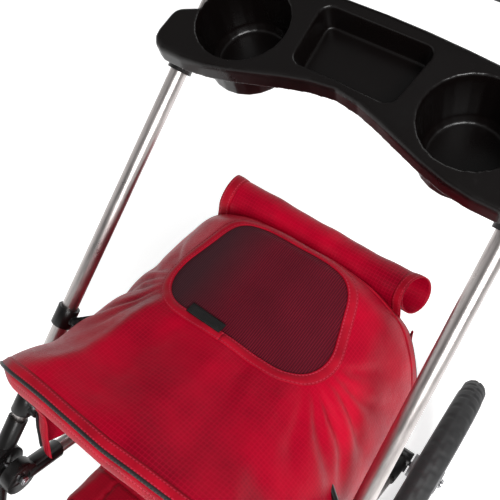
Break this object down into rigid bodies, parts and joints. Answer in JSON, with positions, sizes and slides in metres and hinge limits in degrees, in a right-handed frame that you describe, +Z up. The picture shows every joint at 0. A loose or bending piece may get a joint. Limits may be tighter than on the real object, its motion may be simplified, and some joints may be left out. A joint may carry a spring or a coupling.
{
  "type": "jogging stroller",
  "caption": "Folding baby jogging stroller with straight aluminium tubes, a sling seat, a cloth hood with a mesh window, and a tray with cup wells.",
  "frame": {"origin": "middle of the ground footprint, under the whole stroller", "axes": "+Z up; -Y to the front wheel; +X to the stroller's own left"},
  "size_m": [0.626, 1.216, 1.106],
  "materials": {
    "aluminium": "satin anodised",
    "steel": "zinc plated",
    "black_plastic": "satin moulded",
    "foam": "closed-cell foam",
    "tyre": "matt",
    "rim": "moulded",
    "red_cloth": "plain weave",
    "mesh_cloth": "ribbed mesh",
    "black_cloth": "plain weave"
  },
  "bodies": {
    "root": {"upper_tube_left": "aluminium", "upper_tube_right": "aluminium", "front_tube_left": "aluminium", "front_tube_right": "aluminium", "side_hub_left": "black_plastic", "side_hub_right": "black_plastic", "pivot_bolt_left": "steel", "pivot_bolt_right": "steel", "handle_bar": "aluminium", "handle_grip": "foam", "handle_collar_left": "black_plastic", "handle_collar_right": "black_plastic", "fork_tip_left": "black_plastic", "fork_tip_right": "black_plastic", "front_axle": "steel", "footrest_plate": "black_plastic", "footrest_strut_left": "black_plastic", "footrest_strut_right": "black_plastic", "parent_tray": "black_plastic", "tray_clamp_left": "black_plastic", "tray_clamp_right": "black_plastic", "canopy_clip_left": "black_plastic", "canopy_clip_right": "black_plastic", "bow_pivot_left": "black_plastic", "bow_pivot_right": "black_plastic", "rear_bow": "black_plastic", "canopy_rear_panel": "red_cloth", "window_mesh": "mesh_cloth", "window_flap": "red_cloth", "seat_base": "red_cloth", "leg_panel": "red_cloth", "seat_side_left": "red_cloth", "seat_side_right": "red_cloth", "harness_buckle": "black_plastic", "basket": "black_cloth"},
    "front_wheel": {"front_rim": "rim", "front_tyre": "tyre"},
    "quick_release": {"quick_release_lever": "steel"},
    "rear_frame": {"leg_head_left": "black_plastic", "leg_head_right": "black_plastic", "rear_leg_left": "aluminium", "rear_leg_right": "aluminium", "axle_bracket_left": "black_plastic", "axle_bracket_right": "black_plastic", "rear_axle_tube": "aluminium", "rear_axle_pin_left": "steel", "rear_axle_pin_right": "steel"},
    "rear_wheel_left": {"rear_left_rim": "rim", "rear_left_tyre": "tyre"},
    "rear_wheel_right": {"rear_right_rim": "rim", "rear_right_tyre": "tyre"},
    "brake": {"brake_pedal": "black_plastic", "brake_bar": "steel"},
    "canopy_front": {"front_bow": "black_plastic", "canopy_front_panel": "red_cloth"},
    "backrest": {"backrest_pad": "red_cloth"},
    "knob_left": {"fold_knob_left": "black_plastic"},
    "knob_right": {"fold_knob_right": "black_plastic"},
    "button": {"buckle_button": "red_cloth"}
  },
  "joints": [
    {"name": "front_wheel_spin", "type": "hinge", "parent": "root", "child": "front_wheel", "pos_m": [0, -0.405, 0.203], "axis": [1, 0, 0], "continuous": true},
    {"name": "quick_release_turn", "type": "hinge", "parent": "root", "child": "quick_release", "pos_m": [0.0736, -0.405, 0.203], "axis": [0, -0.5, -0.866], "range_deg": [0, 150]},
    {"name": "rear_frame_fold", "type": "hinge", "parent": "root", "child": "rear_frame", "pos_m": [0, -0.07513, 0.50024], "axis": [-1, 0, 0], "range_deg": [0, 74]},
    {"name": "rear_wheel_left_spin", "type": "hinge", "parent": "rear_frame", "child": "rear_wheel_left", "pos_m": [0.277, 0.405, 0.203], "axis": [1, 0, 0], "continuous": true},
    {"name": "rear_wheel_right_spin", "type": "hinge", "parent": "rear_frame", "child": "rear_wheel_right", "pos_m": [-0.277, 0.405, 0.203], "axis": [1, 0, 0], "continuous": true},
    {"name": "brake_press", "type": "hinge", "parent": "rear_frame", "child": "brake", "pos_m": [0, 0.405, 0.203], "axis": [-1, 0, 0], "range_deg": [0, 20]},
    {"name": "canopy_fold", "type": "hinge", "parent": "root", "child": "canopy_front", "pos_m": [0, -0.00368, 0.5702], "axis": [-1, 0, 0], "range_deg": [0, 30]},
    {"name": "backrest_recline", "type": "hinge", "parent": "root", "child": "backrest", "pos_m": [0, 0.205, 0.372], "axis": [-1, 0, 0], "range_deg": [0, 22]},
    {"name": "fold_knob_left_pull", "type": "slide", "parent": "root", "child": "knob_left", "axis": [1, 0, 0], "range_m": [0, 0.008], "stiffness_N_per_m": 300},
    {"name": "fold_knob_right_pull", "type": "slide", "parent": "root", "child": "knob_right", "axis": [-1, 0, 0], "range_m": [0, 0.008], "stiffness_N_per_m": 300},
    {"name": "buckle_button_press", "type": "slide", "parent": "root", "child": "button", "axis": [0, 1, 0], "range_m": [0, 0.0016], "stiffness_N_per_m": 400}
  ]
}
